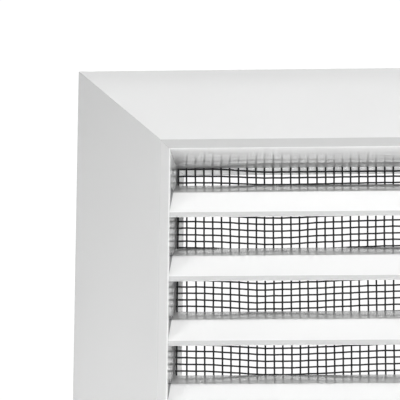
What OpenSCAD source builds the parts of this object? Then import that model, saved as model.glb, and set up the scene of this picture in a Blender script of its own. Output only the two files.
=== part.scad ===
// Louvred air grille for surface mounting on a wall or soffit.
// A mitred frame of hollow bevelled profile, fixed blades that sit in slots of the two stiles,
// a woven insect screen on the return lip behind the blades, and corner keys inside the mitres.
// X is to the right, Y is from the front to the wall, Z is up. Millimetres.
// The origin is the centre of the back face, on the wall plane.

/* [Overall] */
// Outside width of the frame
grille_width = 150; // [120:1:260]
// Outside height of the frame
grille_height = 300; // [240:1:420]
// Depth from the wall plane to the flat front rim
grille_depth = 18; // [17:0.1:24]

/* [Frame profile] */
// Width of the sloping face, from the outer edge to the rim
bevel_width = 19; // [17:0.1:30]
// Width of the flat rim beside the opening
rim_width = 2.05; // [1.8:0.05:5]
// Height of the upright outer edge at the wall
edge_height = 1.2; // [0.8:0.1:3]
// Wall thickness of the profile
wall = 1.3; // [1:0.1:2]
// Width of the return lip that carries the screen
lip_width = 1.3; // [1:0.1:4]
// Thickness of the return lip
lip_thickness = 0.8; // [0.8:0.05:2]
// Width of the flange that lies on the wall
flange_width = 12; // [10:0.5:14]
// Thickness of the flange that lies on the wall
flange_thickness = 1.5; // [1:0.1:2]
// Open joint between two mitred ends
mitre_gap = 0.02; // [0.02:0.01:0.3]

/* [Blades] */
// Sheet thickness of a blade
blade_thickness = 0.9; // [0.6:0.05:1.2]
// Distance of the first blade's front bend below the top of the opening
first_blade_drop = 13.15; // [11:0.05:18]
// Space between the last blade's front lip and the bottom of the opening
last_blade_space = 3.5; // [2:0.05:8]
// Height of the upright lip at a blade's front edge
blade_lip = 0.95; // [0.5:0.05:2]
// How far the foot of the lip leans back
lip_lean = 0.15; // [0:0.05:0.3]
// Distance of a blade's front lip behind the front rim
blade_setback = 0.5; // [0.4:0.05:2]
// Depth of a blade's steep front part
steep_depth = 7.7; // [4:0.1:9]
// Rise of a blade's steep front part
steep_rise = 5.95; // [4:0.05:7]
// Depth of a blade from the front rim to its rear edge
blade_rear = 16.35; // [13:0.05:16.35]
// Rise of a blade from its front bend to its rear edge
blade_rise = 9.35; // [7:0.05:10]
// Clearance over a blade in its slot
slot_clearance = 0.2; // [0.05:0.05:0.4]
// Height of the relief over a blade's bend in its slot
slot_relief = 0.5; // [0.3:0.1:1]

/* [Insect screen] */
// Thread thickness
thread = 0.36; // [0.2:0.02:0.4]
// Spacing of the upright threads
warp_pitch = 1.79; // [1.2:0.01:2.5]
// Spacing of the level threads
weft_pitch = 1.3765; // [1.2:0.0005:2.5]

/* [Fixing holes] */
// Diameter of each screw hole in the wall flange
screw_hole_d = 4.5; // [3.5:0.1:5.5]
// Diameter of each access hole in the sloping face
access_hole_d = 8.5; // [7:0.1:9]
// Distance of the screw holes from the outer edge
screw_inset = 7; // [6.5:0.1:7.5]
// Distance between the upper and lower screw holes
screw_spacing = 120; // [80:1:180]

/* [Corner keys] */
// Length of each leg of a corner key
key_leg = 28; // [20:1:40]
// Thickness of a corner key
key_thickness = 1.6; // [1:0.1:2]

/* [Hidden] */
// The sub-part to draw

blade_count = 19;
face_width = bevel_width + rim_width;
half_w = grille_width / 2;
half_h = grille_height / 2;
open_w = grille_width - 2 * face_width;
open_h = grille_height - 2 * face_width;
open_top = open_h / 2;
blade_pitch = (open_h - first_blade_drop - blade_lip - last_blade_space) / (blade_count - 1);
blade_half = open_w / 2 + wall - 0.1;
rib_width = 1;
rib_top = flange_thickness + key_thickness + 0.3;
slope = (grille_depth - edge_height) / bevel_width;
slope_len = norm([bevel_width, grille_depth - edge_height]);
// Height of the sloping face's inner side above the wall, at no distance from the outer edge
inner_start = edge_height - wall * slope_len / bevel_width;
key_inner = flange_width - 0.1;
key_outer = (flange_thickness + key_thickness - inner_start) / slope + 0.25;
paint = [0.93, 0.94, 0.94];
mill = [0.72, 0.73, 0.75];
black = [0.05, 0.05, 0.06];

// One corner of an outline, rounded with n short steps. r of 0 leaves it sharp.
function corner(a, b, c, r, n) =
  r <= 0 ? [b] :
  let (
    u = (a - b) / norm(a - b),
    v = (c - b) / norm(c - b),
    ang = acos(u * v),
    p = b + u * r / tan(ang / 2),
    q = b + v * r / tan(ang / 2),
    m = (u + v) / norm(u + v),
    o = b + m * r / sin(ang / 2)
  )
  [for (i = [0 : n]) let (w = p * (1 - i / n) + q * i / n) o + (w - o) / norm(w - o) * r];

// A closed outline with each corner rounded by its own radius.
function rounded(pts, radii, n = 4) =
  [for (i = [0 : len(pts) - 1])
    each corner(pts[(i + len(pts) - 1) % len(pts)], pts[i], pts[(i + 1) % len(pts)], radii[i], n)];

// Frame profile: [distance from the outer edge, height above the wall].
frame_outline = rounded(
  [
    [0, 0],
    [0, edge_height],
    [bevel_width, grille_depth],
    [face_width, grille_depth],
    [face_width, lip_thickness],
    [face_width + lip_width, lip_thickness],
    [face_width + lip_width, 0],
    [face_width - wall, 0],
    [face_width - wall, grille_depth - wall],
    [(grille_depth - wall - inner_start) / slope, grille_depth - wall],
    [(flange_thickness - inner_start) / slope, flange_thickness],
    [flange_width, flange_thickness],
    [flange_width, rib_top],
    [flange_width + rib_width, rib_top],
    [flange_width + rib_width, 0]
  ],
  [0, 0.3, 0.5, 0.3, 0, 0.2, 0, 0.2, 0, 0, 0, 0, 0.2, 0.2, 0.2]
);

// Blade section: [distance behind the front rim, height above the blade's front bend].
blade_line = [
  [blade_setback + lip_lean, -blade_lip],
  [blade_setback, 0],
  [blade_setback + steep_depth, steep_rise],
  [blade_rear, blade_rise]
];
function unit(v) = v / norm(v);
function right(v) = [v[1], -v[0]];
// The point s to the right of a bend, where both neighbouring sides have moved by s.
function bend(a, b, c, s) =
  let (m = unit(right(unit(b - a)) + right(unit(c - b))))
  b + m * s / (m * right(unit(b - a)));
// blade_line moved s to its right, and drawn out by e0 and e1 at its ends.
function side(s, e0, e1) = [
  blade_line[0] + right(unit(blade_line[1] - blade_line[0])) * s - unit(blade_line[1] - blade_line[0]) * e0,
  bend(blade_line[0], blade_line[1], blade_line[2], s),
  bend(blade_line[1], blade_line[2], blade_line[3], s),
  blade_line[3] + right(unit(blade_line[3] - blade_line[2])) * s + unit(blade_line[3] - blade_line[2]) * e1
];
function blade_outline(over, under, e0, e1, r_end) =
  let (
    top = side(-over, e0, e1),
    low = side(blade_thickness + under, e0, e1),
    // the rear edge is upright
    top_end = [top[3][0], top[3][1]],
    low_end = [top_end[0], low[3][1] + (top_end[0] - low[3][0]) * (low[3][1] - low[2][1]) / (low[3][0] - low[2][0])]
  )
  rounded(
    [top[0], top[1], top[2], top_end, low_end, low[2], low[1], low[0]],
    [r_end, 0.7, 1.2, r_end, r_end, 0.4, 0.3, r_end]
  );

// Front bend of blade i, counted from 1 at the top.
function blade_z(i) = open_top - first_blade_drop - (i - 1) * blade_pitch;

// Draws a [Y, Z] outline and extrudes it along X.
module along_x(length) {
  rotate([90, 0, 90]) linear_extrude(height = length, center = true) children();
}

// A block that keeps what lies between the two mitre planes of a side of the given length, which runs along X with its outer edge up.
module mitre_keep(length) {
  g = mitre_gap / 2 * sqrt(2);
  rotate([90, 0, 0])
    linear_extrude(height = 4 * grille_depth, center = true)
      polygon([
        [-length / 2 + g, 0.01],
        [length / 2 - g, 0.01],
        [length / 2 - g - 30, -30],
        [-length / 2 + g + 30, -30]
      ]);
}

// A side of the frame that runs along X, with its outer edge at Z 0 and the profile below it.
module side_bar(length) {
  intersection() {
    along_x(length)
      polygon([for (p = frame_outline) [-p[1], -p[0]]]);
    mitre_keep(length);
  }
}

// Height of a blade's steep face at a distance behind the front rim.
function face_z(d) = (d - blade_setback) * steep_rise / steep_depth;

// The relief in front of a blade's bend, which lets the blade be tilted into its slot.
relief_start = wall + 0.2;
relief_outline = [
  [relief_start, face_z(relief_start)],
  [relief_start, face_z(relief_start) + 2.7],
  [blade_setback + 0.38 * steep_depth, steep_rise + slot_relief / 4],
  [blade_setback + steep_depth, steep_rise + slot_relief],
  [blade_setback + steep_depth, steep_rise - blade_thickness / 3],
  [relief_start + 0.3, face_z(relief_start + 0.3) - blade_thickness / 3]
];

module slot_prism(outline, i) {
  translate([open_w / 2 + wall / 2, 0, 0])
    along_x(wall + 1)
      polygon([for (p = outline) [p[0] - grille_depth, p[1] + blade_z(i)]]);
}

// The right-hand stile; the left one is its mirror image.
module stile() {
  difference() {
    translate([half_w, 0, 0]) rotate([0, 90, 0]) side_bar(grille_height);
    for (i = [1 : blade_count]) {
      slot_prism(blade_outline(slot_clearance, 0, 0.4, 0.25, 0), i);
      slot_prism(relief_outline, i);
    }
    for (s = [-1, 1]) translate([half_w - screw_inset, 0, s * screw_spacing / 2]) {
      rotate([90, 0, 0]) cylinder(d = screw_hole_d, h = 4, center = true, $fn = 64);
      translate([0, -flange_thickness, 0]) rotate([90, 0, 0]) cylinder(d = access_hole_d, h = grille_depth, $fn = 96);
    }
  }
}

module frame_top_rail() {
  color(paint) translate([0, 0, half_h]) side_bar(grille_width);
}

module frame_bottom_rail() {
  color(paint) mirror([0, 0, 1]) translate([0, 0, half_h]) side_bar(grille_width);
}

module frame_right_stile() {
  color(paint) stile();
}

module frame_left_stile() {
  color(paint) mirror([1, 0, 0]) stile();
}

// The key of the top right corner: an angle plate on the wall flanges of both sides.
module corner_key() {
  translate([0, -flange_thickness, 0])
    rotate([90, 0, 0])
      linear_extrude(height = key_thickness)
        polygon([
          [half_w - key_outer, half_h - key_outer],
          [half_w - key_outer - key_leg, half_h - key_outer],
          [half_w - key_outer - key_leg, half_h - key_inner],
          [half_w - key_inner, half_h - key_inner],
          [half_w - key_inner, half_h - key_outer - key_leg],
          [half_w - key_outer, half_h - key_outer - key_leg]
        ]);
}

module corner_key_top_right() { color(mill) corner_key(); }
module corner_key_top_left() { color(mill) mirror([1, 0, 0]) corner_key(); }
module corner_key_bottom_right() { color(mill) mirror([0, 0, 1]) corner_key(); }
module corner_key_bottom_left() { color(mill) mirror([1, 0, 0]) mirror([0, 0, 1]) corner_key(); }

module blade(i) {
  color(paint)
    along_x(2 * blade_half)
      polygon([for (p = blade_outline(0, 0, 0, 0, 0.25)) [p[0] - grille_depth, p[1] + blade_z(i)]]);
}

// Threads end on the return lip, just short of the frame's inner wall.
screen_w = open_w - 0.1;
screen_h = open_h - 0.1;
warp_count = floor((screen_w - thread) / warp_pitch) + 1;
weft_count = floor((screen_h - thread) / weft_pitch) + 1;
screen_back = -lip_thickness;

module screen_warp() {
  color(black)
    for (i = [0 : warp_count - 1])
      translate([(i - (warp_count - 1) / 2) * warp_pitch - thread / 2, screen_back - thread, -screen_h / 2])
        cube([thread, thread, screen_h]);
}

module screen_weft() {
  color(black)
    for (i = [0 : weft_count - 1])
      translate([-screen_w / 2, screen_back - 2 * thread, (i - (weft_count - 1) / 2) * weft_pitch - thread / 2])
        cube([screen_w, thread, thread]);
}

frame_top_rail();
frame_bottom_rail();
frame_left_stile();
frame_right_stile();
corner_key_top_left();
corner_key_top_right();
corner_key_bottom_left();
corner_key_bottom_right();
blade(1);  // blade_01
blade(2);  // blade_02
blade(3);  // blade_03
blade(4);  // blade_04
blade(5);  // blade_05
blade(6);  // blade_06
blade(7);  // blade_07
blade(8);  // blade_08
blade(9);  // blade_09
blade(10);  // blade_10
blade(11);  // blade_11
blade(12);  // blade_12
blade(13);  // blade_13
blade(14);  // blade_14
blade(15);  // blade_15
blade(16);  // blade_16
blade(17);  // blade_17
blade(18);  // blade_18
blade(19);  // blade_19
screen_warp();
screen_weft();
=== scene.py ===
"""Looks of the louvred air grille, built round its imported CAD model. Metres, X right, Y from the front into the wall, Z up."""

import math
import random

import bmesh
import bpy
import numpy as np
from mathutils import Matrix, Vector


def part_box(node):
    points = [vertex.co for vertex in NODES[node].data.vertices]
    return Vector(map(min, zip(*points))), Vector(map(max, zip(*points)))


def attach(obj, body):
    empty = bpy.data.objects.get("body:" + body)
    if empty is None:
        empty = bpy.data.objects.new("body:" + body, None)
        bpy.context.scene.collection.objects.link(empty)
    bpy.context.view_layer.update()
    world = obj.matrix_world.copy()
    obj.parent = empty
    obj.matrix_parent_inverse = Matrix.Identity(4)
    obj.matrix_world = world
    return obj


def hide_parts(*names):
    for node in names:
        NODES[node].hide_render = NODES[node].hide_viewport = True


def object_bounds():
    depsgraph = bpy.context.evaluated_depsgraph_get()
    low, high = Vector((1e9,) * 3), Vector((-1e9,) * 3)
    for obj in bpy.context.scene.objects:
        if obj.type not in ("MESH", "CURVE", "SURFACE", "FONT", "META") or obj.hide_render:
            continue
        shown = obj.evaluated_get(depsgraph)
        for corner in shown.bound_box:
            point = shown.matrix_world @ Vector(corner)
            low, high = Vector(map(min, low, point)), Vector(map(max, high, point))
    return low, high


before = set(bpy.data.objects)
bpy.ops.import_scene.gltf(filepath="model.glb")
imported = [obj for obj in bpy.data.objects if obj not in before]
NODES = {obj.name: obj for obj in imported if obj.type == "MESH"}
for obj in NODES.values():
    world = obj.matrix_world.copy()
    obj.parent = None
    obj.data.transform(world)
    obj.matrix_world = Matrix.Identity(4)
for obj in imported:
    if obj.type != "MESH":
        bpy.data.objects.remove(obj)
CAD_BOX = [list(v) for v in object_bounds()]
MM = 0.001

scene = bpy.context.scene
scene.view_settings.view_transform = "Standard"
scene.view_settings.look = "None"
scene.view_settings.exposure = 0.0
scene.view_settings.gamma = 1.0

# ---------------------------------------------------------------- sizes, from the CAD model
lo_all, hi_all = (Vector(CAD_BOX[0]), Vector(CAD_BOX[1]))
FRONT = lo_all.y  # the rim's front plane
TOP, RIGHT, LEFT, BOTTOM = hi_all.z, hi_all.x, lo_all.x, lo_all.z
blade_lo, blade_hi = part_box("blade_01")
BLADE_REAR = blade_hi.y
warp_lo, warp_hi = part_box("screen_warp")
weft_lo, weft_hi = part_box("screen_weft")
HALF_OPEN = RIGHT - 21.05 * MM  # half the width of the opening
HALF_TALL = (TOP - BOTTOM) / 2 - 21.05 * MM  # half its height
BLADES = sorted(n for n in NODES if n.startswith("blade_"))
RAILS = ["frame_top_rail", "frame_bottom_rail", "frame_left_stile", "frame_right_stile"]
KEYS = sorted(n for n in NODES if n.startswith("corner_key"))


# ---------------------------------------------------------------- materials
def new_material(name):
    m = bpy.data.materials.new(name)
    m.use_nodes = True
    nt = m.node_tree
    return m, nt, nt.nodes["Principled BSDF"]


def node(nt, kind, **props):
    n = nt.nodes.new(kind)
    for k, v in props.items():
        setattr(n, k, v)
    return n


def painted_shade_in_slots(nt, bsdf, colour, rough, x_from, y_from):
    """Paints shade into the coat where it lies inside the stiles' slots, more than x_from from the middle and y_from
    behind the rim: a darker grey there, and rougher.
    """
    L = nt.links
    place = node(nt, "ShaderNodeNewGeometry")
    axes = node(nt, "ShaderNodeSeparateXYZ")
    L.new(place.outputs["Position"], axes.inputs["Vector"])
    side = node(nt, "ShaderNodeMath", operation="ABSOLUTE")
    L.new(axes.outputs["X"], side.inputs[0])
    inside = node(nt, "ShaderNodeMapRange")
    inside.inputs["From Min"].default_value, inside.inputs["From Max"].default_value = x_from, x_from + 0.00006
    L.new(side.outputs["Value"], inside.inputs["Value"])
    behind = node(nt, "ShaderNodeMath", operation="GREATER_THAN")
    behind.inputs[1].default_value = FRONT + y_from
    L.new(axes.outputs["Y"], behind.inputs[0])
    outer = node(nt, "ShaderNodeMath", operation="LESS_THAN")
    outer.inputs[1].default_value = x_from + 1.6 * MM
    L.new(side.outputs["Value"], outer.inputs[0])
    both = node(nt, "ShaderNodeMath", operation="MULTIPLY")
    L.new(behind.outputs["Value"], both.inputs[0])
    L.new(outer.outputs["Value"], both.inputs[1])
    amount = node(nt, "ShaderNodeMath", operation="MULTIPLY")
    L.new(both.outputs["Value"], amount.inputs[0])
    L.new(inside.outputs["Result"], amount.inputs[1])
    mix = node(nt, "ShaderNodeMix", data_type="RGBA")
    # painted shade: the grey that stands in for the shade inside the slots
    mix.inputs["B"].default_value = (0.3, 0.3, 0.302, 1)
    L.new(colour, mix.inputs["A"])
    L.new(amount.outputs["Value"], mix.inputs["Factor"])
    L.new(mix.outputs["Result"], bsdf.inputs["Base Color"])
    dull = node(nt, "ShaderNodeMix", data_type="FLOAT")
    dull.inputs["B"].default_value = 0.75
    L.new(rough, dull.inputs["A"])
    L.new(amount.outputs["Value"], dull.inputs["Factor"])
    L.new(dull.outputs["Result"], bsdf.inputs["Roughness"])


def zone_mask(nt, depth, near_opening=None, beyond=None):
    """1 where the surface lies less than depth behind the front; near_opening keeps it to that distance round the opening, beyond drops what is nearer the front than that."""
    L = nt.links
    place = node(nt, "ShaderNodeNewGeometry")
    axes = node(nt, "ShaderNodeSeparateXYZ")
    L.new(place.outputs["Position"], axes.inputs["Vector"])

    def math_node(operation, a, b=None):
        n = node(nt, "ShaderNodeMath", operation=operation)
        L.new(a, n.inputs[0])
        if b is not None:
            if isinstance(b, float):
                n.inputs[1].default_value = b
            else:
                L.new(b, n.inputs[1])
        return n.outputs["Value"]

    mask = math_node("LESS_THAN", axes.outputs["Y"], FRONT + depth)
    if beyond is not None:
        mask = math_node("MULTIPLY", mask, math_node("GREATER_THAN", axes.outputs["Y"], FRONT + beyond))
    if near_opening is not None:
        across = math_node("LESS_THAN", math_node("ABSOLUTE", axes.outputs["X"]), HALF_OPEN + near_opening)
        along = math_node("LESS_THAN", math_node("ABSOLUTE", axes.outputs["Z"]), HALF_TALL + near_opening)
        mask = math_node("MULTIPLY", math_node("MULTIPLY", mask, across), along)
    return mask


def powder_coat(name, base, rough, seed, peel=0.02, slots=None, zones=(), painted_top_shade=None):
    """Semi-gloss powder coat on aluminium: faint orange peel about 1 mm across, finer grain in it, and slow changes of gloss and whiteness."""
    m, nt, bsdf = new_material(name)
    L = nt.links
    coord = node(nt, "ShaderNodeTexCoord")
    shift = node(nt, "ShaderNodeMapping")
    shift.inputs["Location"].default_value = (seed * 0.37, seed * 0.11, seed * 0.23)
    L.new(coord.outputs["Object"], shift.inputs["Vector"])

    peel_tex = node(nt, "ShaderNodeTexNoise")
    peel_tex.inputs["Scale"].default_value = 850.0
    peel_tex.inputs["Detail"].default_value = 1.5
    peel_tex.inputs["Roughness"].default_value = 0.45
    L.new(shift.outputs["Vector"], peel_tex.inputs["Vector"])
    grain = node(nt, "ShaderNodeTexNoise")
    grain.inputs["Scale"].default_value = 5200.0
    grain.inputs["Detail"].default_value = 2.0
    L.new(shift.outputs["Vector"], grain.inputs["Vector"])
    slow = node(nt, "ShaderNodeTexNoise")
    slow.inputs["Scale"].default_value = 26.0
    slow.inputs["Detail"].default_value = 3.0
    L.new(shift.outputs["Vector"], slow.inputs["Vector"])

    bump_a = node(nt, "ShaderNodeBump")
    bump_a.inputs["Strength"].default_value = peel * 6
    bump_a.inputs["Distance"].default_value = 0.00006
    L.new(peel_tex.outputs["Fac"], bump_a.inputs["Height"])
    bump_b = node(nt, "ShaderNodeBump")
    bump_b.inputs["Strength"].default_value = 0.12
    bump_b.inputs["Distance"].default_value = 0.00001
    L.new(grain.outputs["Fac"], bump_b.inputs["Height"])
    L.new(bump_a.outputs["Normal"], bump_b.inputs["Normal"])
    L.new(bump_b.outputs["Normal"], bsdf.inputs["Normal"])

    tone = node(nt, "ShaderNodeMapRange")
    tone.inputs["From Min"].default_value = 0.3
    tone.inputs["From Max"].default_value = 0.7
    tone.inputs["To Min"].default_value = 0.0
    tone.inputs["To Max"].default_value = 1.0
    L.new(slow.outputs["Fac"], tone.inputs["Value"])
    mix = node(nt, "ShaderNodeMix", data_type="RGBA")
    mix.inputs["A"].default_value = (*[c * 0.985 for c in base], 1)
    mix.inputs["B"].default_value = (*[min(1, c * 1.012) for c in base], 1)
    L.new(tone.outputs["Result"], mix.inputs["Factor"])
    colour = mix.outputs["Result"]
    for grey, where in zones:
        over = node(nt, "ShaderNodeMix", data_type="RGBA")
        if isinstance(grey, tuple):  # painted light and shade: greys at the front, the middle and the rear of the inner walls, lighter at the front and darker further in
            depth_in = node(nt, "ShaderNodeMapRange")
            depth_in.inputs["From Min"].default_value, depth_in.inputs["From Max"].default_value = FRONT + 0.4 * MM, FRONT + 17 * MM
            place = node(nt, "ShaderNodeNewGeometry")
            axes = node(nt, "ShaderNodeSeparateXYZ")
            L.new(place.outputs["Position"], axes.inputs["Vector"])
            L.new(axes.outputs["Y"], depth_in.inputs["Value"])
            ramp = node(nt, "ShaderNodeValToRGB")
            ramp.color_ramp.elements.new(0.55)
            for stop, g in zip(ramp.color_ramp.elements, grey):
                stop.color = (g, g * 1.002, g, 1)
            L.new(depth_in.outputs["Result"], ramp.inputs["Fac"])
            L.new(ramp.outputs["Color"], over.inputs["B"])
        else:
            over.inputs["B"].default_value = (grey, grey * 1.002, grey, 1)
        L.new(colour, over.inputs["A"])
        L.new(zone_mask(nt, **where), over.inputs["Factor"])
        colour = over.outputs["Result"]
    if painted_top_shade is not None:  # painted shade, darker towards the top: (height from the middle, height to, tone there), the tone below being 1
        place = node(nt, "ShaderNodeNewGeometry")
        axes = node(nt, "ShaderNodeSeparateXYZ")
        L.new(place.outputs["Position"], axes.inputs["Vector"])
        height = node(nt, "ShaderNodeMapRange")
        height.inputs["From Min"].default_value, height.inputs["From Max"].default_value = painted_top_shade[0], painted_top_shade[1]
        height.inputs["To Min"].default_value, height.inputs["To Max"].default_value = 1.0, painted_top_shade[2]
        L.new(axes.outputs["Z"], height.inputs["Value"])
        toned = node(nt, "ShaderNodeVectorMath", operation="SCALE")
        L.new(colour, toned.inputs[0])
        L.new(height.outputs["Result"], toned.inputs["Scale"])
        colour = toned.outputs["Vector"]
    L.new(colour, bsdf.inputs["Base Color"])

    gloss = node(nt, "ShaderNodeMapRange")
    gloss.inputs["From Min"].default_value = 0.25
    gloss.inputs["From Max"].default_value = 0.75
    gloss.inputs["To Min"].default_value = rough - 0.035
    gloss.inputs["To Max"].default_value = rough + 0.035
    L.new(peel_tex.outputs["Fac"], gloss.inputs["Value"])
    L.new(gloss.outputs["Result"], bsdf.inputs["Roughness"])
    bsdf.inputs["IOR"].default_value = 1.5
    bsdf.inputs["Specular IOR Level"].default_value = 0.5
    # painted shade where the coat lies inside the stiles' slots
    if slots is not None:
        painted_shade_in_slots(nt, bsdf, colour, gloss.outputs["Result"], *slots)
    return m


def mill_aluminium():
    m, nt, bsdf = new_material("mill_aluminium")
    L = nt.links
    coord = node(nt, "ShaderNodeTexCoord")
    stretch = node(nt, "ShaderNodeMapping")
    stretch.inputs["Scale"].default_value = (1.0, 1.0, 0.04)
    L.new(coord.outputs["Object"], stretch.inputs["Vector"])
    lines = node(nt, "ShaderNodeTexNoise")
    lines.inputs["Scale"].default_value = 4200.0
    lines.inputs["Detail"].default_value = 3.0
    L.new(stretch.outputs["Vector"], lines.inputs["Vector"])
    blotch = node(nt, "ShaderNodeTexNoise")
    blotch.inputs["Scale"].default_value = 240.0
    L.new(coord.outputs["Object"], blotch.inputs["Vector"])
    mix = node(nt, "ShaderNodeMix", data_type="RGBA")
    mix.inputs["A"].default_value = (0.58, 0.59, 0.60, 1)
    mix.inputs["B"].default_value = (0.74, 0.75, 0.76, 1)
    L.new(blotch.outputs["Fac"], mix.inputs["Factor"])
    L.new(mix.outputs["Result"], bsdf.inputs["Base Color"])
    rough = node(nt, "ShaderNodeMapRange")
    rough.inputs["To Min"].default_value = 0.3
    rough.inputs["To Max"].default_value = 0.5
    L.new(lines.outputs["Fac"], rough.inputs["Value"])
    L.new(rough.outputs["Result"], bsdf.inputs["Roughness"])
    bump = node(nt, "ShaderNodeBump")
    bump.inputs["Strength"].default_value = 0.15
    bump.inputs["Distance"].default_value = 0.00002
    L.new(lines.outputs["Fac"], bump.inputs["Height"])
    L.new(bump.outputs["Normal"], bsdf.inputs["Normal"])
    bsdf.inputs["Metallic"].default_value = 1.0
    return m


def screen_thread():
    """Black vinyl-coated glass-fibre yarn: nearly matt, with a slight sheen and fine filament ridges."""
    m, nt, bsdf = new_material("screen_thread")
    L = nt.links
    coord = node(nt, "ShaderNodeTexCoord")
    fine = node(nt, "ShaderNodeTexNoise")
    fine.inputs["Scale"].default_value = 6500.0
    fine.inputs["Detail"].default_value = 2.0
    L.new(coord.outputs["Object"], fine.inputs["Vector"])
    mix = node(nt, "ShaderNodeMix", data_type="RGBA")
    mix.inputs["A"].default_value = (0.006, 0.006, 0.007, 1)
    mix.inputs["B"].default_value = (0.016, 0.016, 0.017, 1)
    L.new(fine.outputs["Fac"], mix.inputs["Factor"])
    L.new(mix.outputs["Result"], bsdf.inputs["Base Color"])
    rough = node(nt, "ShaderNodeMapRange")
    rough.inputs["To Min"].default_value = 0.5
    rough.inputs["To Max"].default_value = 0.72
    L.new(fine.outputs["Fac"], rough.inputs["Value"])
    L.new(rough.outputs["Result"], bsdf.inputs["Roughness"])
    bump = node(nt, "ShaderNodeBump")
    bump.inputs["Strength"].default_value = 0.2
    bump.inputs["Distance"].default_value = 0.00002
    L.new(fine.outputs["Fac"], bump.inputs["Height"])
    L.new(bump.outputs["Normal"], bsdf.inputs["Normal"])
    return m


# One white coat with painted light and shade in it: painted shade on the flat front rim and on the blades' upright lips
# and rear parts, a painted highlight round the inner edge of the opening, painted shade deepening down the inner walls
# (painted light at the front of the top wall), and painted light on the return lip at the back.
RIM_PAINTED_SHADE = dict(depth=0.04 * MM)
ARRIS_PAINTED_HIGHLIGHT = dict(depth=0.36 * MM, near_opening=0.3 * MM, beyond=0.012 * MM)
INNER_WALL_PAINTED_SHADE = dict(depth=16.9 * MM, near_opening=0.05 * MM, beyond=1.5 * MM)
TOP_WALL_PAINTED_LIGHT_AND_SHADE = dict(depth=16.9 * MM, near_opening=0.05 * MM, beyond=0.36 * MM)
RETURN_LIP_PAINTED_LIGHT = dict(depth=17.5 * MM, near_opening=-0.02 * MM, beyond=16.9 * MM)
PAINT_FRAME = powder_coat("powder_coat_frame", (0.77, 0.772, 0.771), 0.1, 1, zones=((0.555, RIM_PAINTED_SHADE), (0.84, ARRIS_PAINTED_HIGHLIGHT), ((1.0, 0.67, 0.63), TOP_WALL_PAINTED_LIGHT_AND_SHADE), (0.95, RETURN_LIP_PAINTED_LIGHT)))
# The left stile: a lighter copy of the same coat as painted light, painted shade darker towards its top, and painted
# shade inside its slots.
LEFT_STILE_COAT_PAINTED_LIGHT = powder_coat("powder_coat_stile", (0.84, 0.842, 0.841), 0.1, 1, slots=(HALF_OPEN + 0.00002, 1.45 * MM), zones=((0.67, RIM_PAINTED_SHADE), (0.84, ARRIS_PAINTED_HIGHLIGHT), (0.64, INNER_WALL_PAINTED_SHADE), (0.95, RETURN_LIP_PAINTED_LIGHT)), painted_top_shade=(0.07, 0.145, 0.86))
# The right stile: a darker copy of the same coat as painted shade, and painted shade inside its slots.
RIGHT_STILE_COAT_PAINTED_SHADE = powder_coat("powder_coat_stile_right", (0.72, 0.722, 0.721), 0.1, 2, slots=(HALF_OPEN + 0.00002, 1.45 * MM), zones=((0.67, RIM_PAINTED_SHADE), (0.84, ARRIS_PAINTED_HIGHLIGHT), (0.64, INNER_WALL_PAINTED_SHADE), (0.95, RETURN_LIP_PAINTED_LIGHT)))
# The blades: a lighter copy of the same coat as painted light, with painted shade on their upright front lips, on their
# rear parts behind the bend and on their ends inside the slots.
BLADE_COAT_PAINTED_LIGHT_AND_SHADE = powder_coat("powder_coat_blade", (0.95, 0.951, 0.950), 0.12, 5, slots=(HALF_OPEN, 0.6 * MM), zones=((0.62, dict(depth=0.68 * MM)), (0.84, dict(depth=17 * MM, beyond=8.3 * MM))))
MILL = mill_aluminium()
THREAD = screen_thread()


def clothe(o, mat, angle):
    """Gives a CAD node its material, joins the corners of its faces, and shades its small rounding steps smoothly. Its vertices stay."""
    o.data.materials.clear()
    o.data.materials.append(mat)
    for name in ("custom_normal", "sharp_face"):
        a = o.data.attributes.get(name)
        if a is not None:
            o.data.attributes.remove(a)
    o.data.polygons.foreach_set("use_smooth", [True] * len(o.data.polygons))
    weld = o.modifiers.new("weld", "WELD")
    weld.merge_threshold = 2e-6
    split = o.modifiers.new("edges", "EDGE_SPLIT")
    split.use_edge_angle = True
    split.split_angle = math.radians(angle)
    split.use_edge_sharp = False


for n in RAILS:
    clothe(NODES[n], RIGHT_STILE_COAT_PAINTED_SHADE if n == "frame_right_stile" else LEFT_STILE_COAT_PAINTED_LIGHT if "stile" in n else PAINT_FRAME, 30)
for n in BLADES:
    clothe(NODES[n], BLADE_COAT_PAINTED_LIGHT_AND_SHADE, 30)
for n in KEYS:
    clothe(NODES[n], MILL, 30)

# ---------------------------------------------------------------- insect screen
rnd = random.Random(11)
THREAD_R = 0.18 * MM
n_warp, n_weft = 61, 188
WARP_PITCH = (warp_hi.x - warp_lo.x - 2 * THREAD_R) / (n_warp - 1)
WEFT_PITCH = (weft_hi.z - weft_lo.z - 2 * THREAD_R) / (n_weft - 1)
mid_y = (warp_lo.y + weft_hi.y) / 2
SCREEN_W, SCREEN_H = weft_hi.x - weft_lo.x, warp_hi.z - warp_lo.z
WEAVE = THREAD_R * 0.92


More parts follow.
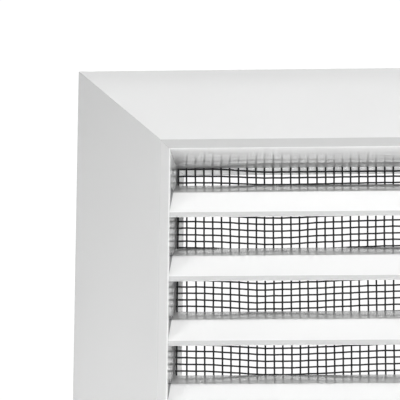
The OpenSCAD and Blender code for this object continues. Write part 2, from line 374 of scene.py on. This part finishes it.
def wander(x, z):
    """How far the net is pulled out of square at a point, in metres (x, z): long slack waves, none at the bonded edges."""
    t = warp_hi.z - z  # down from the top
    hold_x = np.clip(np.minimum(x - weft_lo.x, weft_hi.x - x) / (2.4 * MM), 0, 1)
    hold_z = np.clip(np.minimum(t, z - warp_lo.z) / (1.2 * MM), 0, 1)
    slack = (1 - np.exp(-t / (8 * MM))) * (1 - np.exp(-(SCREEN_H - t) / (8 * MM)))
    # the level threads sag left of the middle; further down the sag moves to the right and grows shallow
    mid = -33.8 * MM + 30 * MM * (1 - np.cos(np.clip((t - 45 * MM) / (150 * MM), 0, 1) * math.pi)) / 2
    wide = np.where(x < mid, 10.6 * MM, 17.5 * MM)
    deep = 0.92 * MM * (1 - 0.45 * np.clip((t - 50 * MM) / (90 * MM), 0, 1))
    dz = -deep * slack * np.exp(-(((x - mid) / wide) ** 2))
    far = np.clip((x - 2 * MM) / (14 * MM), 0, 1)
    dz = dz - 0.5 * MM * far * slack * np.exp(-(((x - 31 * MM) / (13 * MM)) ** 2)) * np.sin(t * 24.0 + 0.6)
    dz = dz - 0.12 * MM * hold_z + 0.025 * MM * np.sin(x * 900.0 + t * 310.0) * slack
    # the topmost level threads hang a little lower than the rest, except next to the left side
    ramp = np.clip((x + 45 * MM) / (9 * MM), 0, 1) * (1 - 0.8 * np.clip(x / (30 * MM), 0, 1))
    low = ramp * (0.27 * MM + 0.45 * MM * np.exp(-((t / (1.1 * MM)) ** 2))) * np.exp(-np.maximum(t - 3 * MM, 0) / (8 * MM))
    # the upright threads lean: to the right in the upper half, back again in the lower one
    dx = 0.95 * MM * np.sin(math.pi * t / (160 * MM)) * (1 - 0.3 * np.clip((x - weft_lo.x) / (45 * MM), 0, 1))
    dx = dx + 0.2 * MM * np.sin((x - weft_lo.x) * math.pi / (38 * MM)) + 0.03 * MM * np.sin(t * 270.0 + x * 500.0)
    # the whole net hangs a little to the left, and its lower and right-hand parts a little higher
    dx = dx - 0.24 * MM * (1 - 0.9 * np.clip((x + 35 * MM) / (12 * MM), 0, 1) * np.exp(-((t / (8 * MM)) ** 2)))
    start = 29 * MM - 22 * MM * np.clip((x + 38 * MM) / (12 * MM), 0, 1)
    dz = dz + 0.2 * MM * np.clip((t - start) / (5 * MM), 0, 1)
    return dx * hold_x, dz * hold_z - low


def tube(name, lines, radius, sides=6):
    """One mesh of round tubes along the given centre lines, each an (n, 3) array."""
    verts, faces = [], []
    ring = [(math.cos(2 * math.pi * k / sides), math.sin(2 * math.pi * k / sides)) for k in range(sides)]
    for line, along in lines:
        base = len(verts)
        for p in line:
            for c, s in ring:
                if along == "x":
                    verts.append((p[0], p[1] + radius * c, p[2] + radius * s))
                else:
                    verts.append((p[0] + radius * c, p[1] + radius * s, p[2]))
        n = len(line)
        for i in range(n - 1):
            a, b = base + i * sides, base + (i + 1) * sides
            for k in range(sides):
                k2 = (k + 1) % sides
                f = (a + k, a + k2, b + k2, b + k)
                faces.append(f if along == "z" else f)
        faces.append(tuple(base + k for k in reversed(range(sides))))
        faces.append(tuple(base + (n - 1) * sides + k for k in range(sides)))
    me = bpy.data.meshes.new(name)
    me.from_pydata(verts, [], faces)
    me.update()
    bm = bmesh.new()
    bm.from_mesh(me)
    bmesh.ops.recalc_face_normals(bm, faces=bm.faces)
    bm.to_mesh(me)
    bm.free()
    me.polygons.foreach_set("use_smooth", [True] * len(me.polygons))
    o = bpy.data.objects.new(name, me)
    scene.collection.objects.link(o)
    me.materials.append(THREAD)
    return o


warp_x = [(i - (n_warp - 1) / 2) * WARP_PITCH for i in range(n_warp)]
weft_z = [(j - (n_weft - 1) / 2) * WEFT_PITCH for j in range(n_weft)]
warp_off = [rnd.uniform(-0.05, 0.05) * MM for _ in warp_x]
weft_off = [rnd.uniform(-0.035, 0.035) * MM for _ in weft_z]

weft_lines, warp_lines = [], []
xs = np.array([weft_lo.x + 0.0] + warp_x + [weft_hi.x])
for j, z0 in enumerate(weft_z):
    dx, dz = wander(xs, np.full_like(xs, z0))
    side = np.array([0.0] + [(-1) ** (i + j) for i in range(n_warp)] + [0.0])
    line = np.stack([xs + np.where(np.abs(side) > 0, dx, 0), mid_y + side * WEAVE * 0.5, z0 + weft_off[j] + dz], 1)
    weft_lines.append((line, "x"))
zs = np.array([warp_lo.z] + weft_z + [warp_hi.z])
for i, x0 in enumerate(warp_x):
    dx, dz = wander(np.full_like(zs, x0), zs)
    side = np.array([0.0] + [-((-1) ** (i + j)) for j in range(n_weft)] + [0.0])
    line = np.stack([x0 + warp_off[i] + dx, mid_y + side * WEAVE * 0.5, zs + np.where(np.abs(side) > 0, dz, 0)], 1)
    warp_lines.append((line, "z"))
weft = tube("insect_screen_weft", weft_lines, THREAD_R)
warp = tube("insect_screen_warp", warp_lines, THREAD_R)
for o, cad in ((weft, "screen_weft"), (warp, "screen_warp")):
    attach(o, "root")
    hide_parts(cad)

# ---------------------------------------------------------------- stage
floor_mesh = bpy.data.meshes.new("floor")
S = 14.0
floor_mesh.from_pydata([(-S, -S, 0), (S, -S, 0), (S, S, 0), (-S, S, 0)], [], [(0, 1, 2, 3)])
floor = bpy.data.objects.new("floor", floor_mesh)
floor.location = (0, 0, BOTTOM - 0.0002)
scene.collection.objects.link(floor)
fm, fnt, fb = new_material("floor_pale")
fb.inputs["Base Color"].default_value = (0.86, 0.86, 0.86, 1)
fb.inputs["Roughness"].default_value = 0.6
floor_mesh.materials.append(fm)
glow = node(fnt, "ShaderNodeEmission")
glow.inputs["Color"].default_value = (0.62, 0.62, 0.62, 1)
seen_floor = node(fnt, "ShaderNodeLightPath")
part = node(fnt, "ShaderNodeMath", operation="MULTIPLY")
part.inputs[1].default_value = 0.5
fnt.links.new(seen_floor.outputs["Is Camera Ray"], part.inputs[0])
lit = node(fnt, "ShaderNodeMixShader")
fnt.links.new(part.outputs["Value"], lit.inputs["Fac"])
fnt.links.new(fb.outputs["BSDF"], lit.inputs[1])
fnt.links.new(glow.outputs["Emission"], lit.inputs[2])
fnt.links.new(lit.outputs["Shader"], fnt.nodes["Material Output"].inputs["Surface"])

# Light strengths, for the surroundings (by direction) and for each soft box in watts.
SKY = {"all": 0.10, "behind": 0.06, "front": 0.0, "above": 0.0}
BOXES = [
    ("key_left", (-0.916, -1.308, 1.284), (0, 0, 0.08), (0.5, 0.16), 5.4),
    ("key_right", (0.916, -1.308, 1.284), (0, 0, 0.08), (0.5, 0.16), 19.6),
    ("key_high", (0.791, -0.943, 1.656), (0, 0, 0.08), (0.5, 0.16), 1.6),
    ("overhead", (-0.0, 0.139, 1.674), (0, 0, 0.08), (1.0, 0.45), 1.3),
    ("top_back", (-0.0, 0.918, 1.391), (0, 0, 0.08), (1.0, 0.45), 1.5),
    ("front_low", (0.386, -1.441, -0.077), (0, 0, 0.08), (0.6, 0.2), 8.6),
    ("left_low", (-0.3, -0.06, -0.11), (-0.06, 0, 0.06), (0.15, 0.2), 0.12),
    ("side_left", (-1.5, -0.1, 0.05), (0, 0, 0.08), (0.3, 0.4), 3.7),
    ("back_fill_left", (-0.65, 1.7, 0.38), (0, 0, 0), (0.7, 0.7), 7.0),
    ("back_fill_right", (0.65, 1.7, 0.38), (0, 0, 0), (0.7, 0.7), 6.0),
    ("right_low_near", (0.35, -0.8, -0.08), (-0.05, 0, 0.12), (0.3, 0.12), 0.2),
    ("right_low_far", (0.8, -0.9, -0.06), (-0.05, 0, 0.12), (0.3, 0.15), 0.39),
]

world = bpy.data.worlds.new("studio")
scene.world = world
world.use_nodes = True
wnt = world.node_tree
for n in list(wnt.nodes):
    wnt.nodes.remove(n)
out = node(wnt, "ShaderNodeOutputWorld")
seen = node(wnt, "ShaderNodeBackground")
seen.inputs["Color"].default_value = (1, 1, 1, 1)
seen.inputs["Strength"].default_value = 1.05
light = node(wnt, "ShaderNodeBackground")
light.inputs["Color"].default_value = (0.99, 1.0, 0.997, 1)
direction = node(wnt, "ShaderNodeTexCoord")
axes = node(wnt, "ShaderNodeSeparateXYZ")
wnt.links.new(direction.outputs["Generated"], axes.inputs["Vector"])
total = None
for key, axis, a, b in (("behind", "Y", 0.0, 0.5), ("front", "Y", 0.0, -0.5), ("above", "Z", 0.0, 0.9)):
    ramp = node(wnt, "ShaderNodeMapRange", interpolation_type="SMOOTHSTEP", name="sky_" + key)
    ramp.inputs["From Min"].default_value, ramp.inputs["From Max"].default_value = a, b
    ramp.inputs["To Min"].default_value, ramp.inputs["To Max"].default_value = 0.0, SKY[key]
    wnt.links.new(axes.outputs[axis], ramp.inputs["Value"])
    add = node(wnt, "ShaderNodeMath", operation="ADD")
    if total is None:
        add.name = "sky_all"
        add.inputs[1].default_value = SKY["all"]
    else:
        wnt.links.new(total.outputs["Value"], add.inputs[1])
    wnt.links.new(ramp.outputs["Result"], add.inputs[0])
    total = add
wnt.links.new(total.outputs["Value"], light.inputs["Strength"])
path = node(wnt, "ShaderNodeLightPath")
mixw = node(wnt, "ShaderNodeMixShader")
wnt.links.new(path.outputs["Is Camera Ray"], mixw.inputs["Fac"])
wnt.links.new(light.outputs["Background"], mixw.inputs[1])
wnt.links.new(seen.outputs["Background"], mixw.inputs[2])
wnt.links.new(mixw.outputs["Shader"], out.inputs["Surface"])


def softbox(name, at, target, size, power, color=(1, 1, 1)):
    data = bpy.data.lights.new(name, "AREA")
    data.shape = "RECTANGLE"
    data.size, data.size_y = size
    data.energy = power
    data.color = color
    o = bpy.data.objects.new(name, data)
    o.location = at
    d = Vector(target) - Vector(at)
    o.rotation_mode = "QUATERNION"
    o.rotation_quaternion = d.to_track_quat("-Z", "Y")
    o.visible_camera = False
    scene.collection.objects.link(o)
    return o


for row in BOXES:
    box = softbox(*row)
    box.visible_glossy = not row[0].startswith("back_fill")
# A white sweep behind the grille, which only shows as a reflection in the glossy walls and blades.
sweep = softbox("sweep", (0, 0.6, 0.571), (0, 0, 0.571), (2.4, 1.44), 6.3)
sweep.visible_diffuse = False

# ---------------------------------------------------------------- camera
# A long lens looks up and to the left at the top left corner of the opening, as in a cropped catalogue picture.
F_PX, S_PX = 4500.0, 4.9103
PHI, PSI, ROLL = math.radians(13.009), math.radians(5.002), math.radians(0.643)
rim_in = 21.05 * MM
corner = Vector((LEFT + rim_in, FRONT, TOP - rim_in))
aim = corner + Vector((6.230 * MM, 0, -10.703 * MM))
d = Vector((-math.sin(PSI) * math.cos(PHI), math.cos(PSI) * math.cos(PHI), math.sin(PHI)))
r = d.cross(Vector((0, 0, 1))).normalized()
u = r.cross(d)
r2 = r * math.cos(ROLL) + u * math.sin(ROLL)
u2 = -r * math.sin(ROLL) + u * math.cos(ROLL)
dist = F_PX / S_PX * MM
cam_data = bpy.data.cameras.new("camera")
cam_data.sensor_width = 36.0
cam_data.sensor_fit = "HORIZONTAL"
cam_data.lens = F_PX * 36.0 / 400.0
cam_data.clip_start, cam_data.clip_end = 0.01, 50.0
cam = bpy.data.objects.new("camera", cam_data)
rot = Matrix((r2, u2, -d)).transposed()
cam.matrix_world = Matrix.Translation(aim - d * dist) @ rot.to_4x4()
scene.collection.objects.link(cam)
scene.camera = cam
